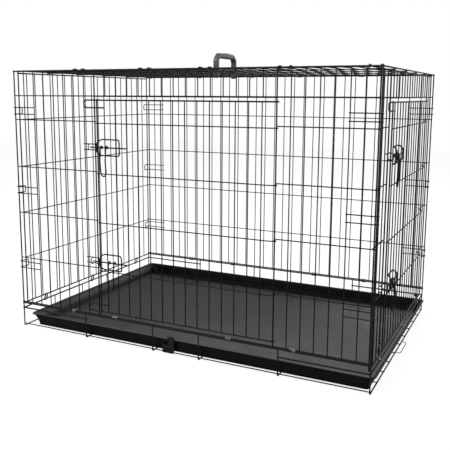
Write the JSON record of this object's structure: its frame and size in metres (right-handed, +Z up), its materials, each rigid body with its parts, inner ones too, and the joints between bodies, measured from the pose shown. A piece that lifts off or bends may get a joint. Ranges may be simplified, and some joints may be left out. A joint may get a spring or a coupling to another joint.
{
  "type": "folding pet cage",
  "caption": "Folding wire pet cage with a front door and an end door, slide bolts, a lift-up top, a pull-out plastic tray and a carrying handle.",
  "frame": {"origin": "on the floor, on the underside of the floor cross wire 72 mm to the left of the cage's middle, at mid depth", "axes": "+Z up; +X along the length, towards the end with the door and the tray slot; -Y out of the front with the wide door"},
  "size_m": [1.092, 0.7385, 0.8276],
  "materials": {
    "black_coated_steel": "satin black coating on steel wire",
    "black_plastic": "moulded black plastic, slightly grained",
    "zinc_plated_steel": "bright zinc plate"
  },
  "bodies": {
    "frame": {"base_grid": "black_coated_steel", "front_panel": "black_coated_steel", "back_panel": "black_coated_steel", "front_corner_hook_1": "black_coated_steel", "front_corner_hook_2": "black_coated_steel", "front_corner_hook_3": "black_coated_steel", "front_corner_hook_4": "black_coated_steel", "front_corner_hook_5": "black_coated_steel", "front_corner_hook_6": "black_coated_steel", "back_corner_hook_1": "black_coated_steel", "back_corner_hook_2": "black_coated_steel", "back_corner_hook_3": "black_coated_steel", "back_corner_hook_4": "black_coated_steel", "back_corner_hook_5": "black_coated_steel", "back_corner_hook_6": "black_coated_steel", "front_upper_keeper": "black_coated_steel", "front_lower_keeper": "black_coated_steel", "front_ring_1": "zinc_plated_steel", "front_ring_2": "zinc_plated_steel", "front_ring_3": "zinc_plated_steel", "front_ring_4": "zinc_plated_steel", "back_ring_1": "zinc_plated_steel", "back_ring_2": "zinc_plated_steel", "back_ring_3": "zinc_plated_steel", "back_ring_4": "zinc_plated_steel", "left_end_ring_1": "zinc_plated_steel", "left_end_ring_2": "zinc_plated_steel", "left_end_ring_3": "zinc_plated_steel", "right_end_ring_1": "zinc_plated_steel", "right_end_ring_2": "zinc_plated_steel", "right_end_ring_3": "zinc_plated_steel"},
    "left_end": {"left_end_panel": "black_coated_steel"},
    "right_end": {"right_end_panel": "black_coated_steel", "end_upper_keeper": "black_coated_steel", "end_lower_keeper": "black_coated_steel"},
    "front_door": {"front_door": "black_coated_steel", "front_upper_guide": "black_coated_steel", "front_lower_guide": "black_coated_steel"},
    "end_door": {"end_door": "black_coated_steel", "end_upper_guide": "black_coated_steel", "end_lower_guide": "black_coated_steel"},
    "top": {"top_panel": "black_coated_steel", "top_ring_1": "zinc_plated_steel", "top_ring_2": "zinc_plated_steel", "top_ring_3": "zinc_plated_steel", "top_ring_4": "zinc_plated_steel", "top_ring_5": "zinc_plated_steel", "top_ring_6": "zinc_plated_steel"},
    "handle": {"carry_handle": "black_plastic"},
    "tray": {"tray": "black_plastic"},
    "catch": {"tray_catch": "black_plastic"},
    "stop": {"tray_stop": "black_coated_steel"},
    "front_upper_bolt": {"front_upper_bolt": "black_coated_steel"},
    "front_upper_pull": {"front_upper_pull": "black_coated_steel"},
    "front_lower_bolt": {"front_lower_bolt": "black_coated_steel"},
    "front_lower_pull": {"front_lower_pull": "black_coated_steel"},
    "end_upper_bolt": {"end_upper_bolt": "black_coated_steel"},
    "end_upper_pull": {"end_upper_pull": "black_coated_steel"},
    "end_lower_bolt": {"end_lower_bolt": "black_coated_steel"},
    "end_lower_pull": {"end_lower_pull": "black_coated_steel"}
  },
  "joints": [
    {"name": "left_end_fold", "type": "hinge", "parent": "frame", "child": "left_end", "pos_m": [-0.4565, 0, 0.076], "axis": [0, 1, 0], "range_deg": [0, 89]},
    {"name": "right_end_fold", "type": "hinge", "parent": "frame", "child": "right_end", "pos_m": [0.6005, 0, 0.057], "axis": [0, -1, 0], "range_deg": [0, 90]},
    {"name": "top_lift", "type": "hinge", "parent": "frame", "child": "top", "pos_m": [0.072, 0.355, 0.77], "axis": [-1, 0, 0], "range_deg": [0, 100]},
    {"name": "carry_handle_swing", "type": "hinge", "parent": "top", "child": "handle", "pos_m": [0.072, -0.05, 0.7714], "axis": [0, 1, 0], "range_deg": [-72, 72]},
    {"name": "front_door_swing", "type": "hinge", "parent": "frame", "child": "front_door", "pos_m": [0.35733, -0.355, 0.4], "axis": [0, 0, -1], "range_deg": [-160, 0]},
    {"name": "end_door_swing", "type": "hinge", "parent": "right_end", "child": "end_door", "pos_m": [0.6005, 0.276, 0.4], "axis": [0, 0, -1], "range_deg": [-160, 0]},
    {"name": "tray_slide", "type": "slide", "parent": "frame", "child": "tray", "axis": [1, 0, 0], "range_m": [0, 1]},
    {"name": "tray_catch_swing", "type": "hinge", "parent": "frame", "child": "catch", "pos_m": [0.045, -0.347, 0.00429], "axis": [1, 0, 0], "range_deg": [0, 75]},
    {"name": "tray_stop_swing", "type": "hinge", "parent": "frame", "child": "stop", "pos_m": [0.607, -0.016, 0.00165], "axis": [0, 1, 0], "range_deg": [-90, 0]},
    {"name": "front_upper_bolt_slide", "type": "slide", "parent": "front_door", "child": "front_upper_bolt", "axis": [1, 0, 0], "range_m": [-0.0075, 0.01]},
    {"name": "front_upper_pull_swing", "type": "hinge", "parent": "front_upper_bolt", "child": "front_upper_pull", "pos_m": [-0.13917, -0.36841, 0.562], "axis": [-1, 0, 0], "range_deg": [0, 110]},
    {"name": "front_lower_bolt_slide", "type": "slide", "parent": "front_door", "child": "front_lower_bolt", "axis": [1, 0, 0], "range_m": [-0.0075, 0.01]},
    {"name": "front_lower_pull_swing", "type": "hinge", "parent": "front_lower_bolt", "child": "front_lower_pull", "pos_m": [-0.12117, -0.36841, 0.24], "axis": [-1, 0, 0], "range_deg": [0, 110]},
    {"name": "end_upper_bolt_slide", "type": "slide", "parent": "end_door", "child": "end_upper_bolt", "axis": [0, 1, 0], "range_m": [-0.0075, 0.01]},
    {"name": "end_upper_pull_swing", "type": "hinge", "parent": "end_upper_bolt", "child": "end_upper_pull", "pos_m": [0.61391, -0.203, 0.562], "axis": [0, -1, 0], "range_deg": [0, 110]},
    {"name": "end_lower_bolt_slide", "type": "slide", "parent": "end_door", "child": "end_lower_bolt", "axis": [0, 1, 0], "range_m": [-0.0075, 0.01]},
    {"name": "end_lower_pull_swing", "type": "hinge", "parent": "end_lower_bolt", "child": "end_lower_pull", "pos_m": [0.61391, -0.185, 0.24], "axis": [0, -1, 0], "range_deg": [0, 110]}
  ]
}
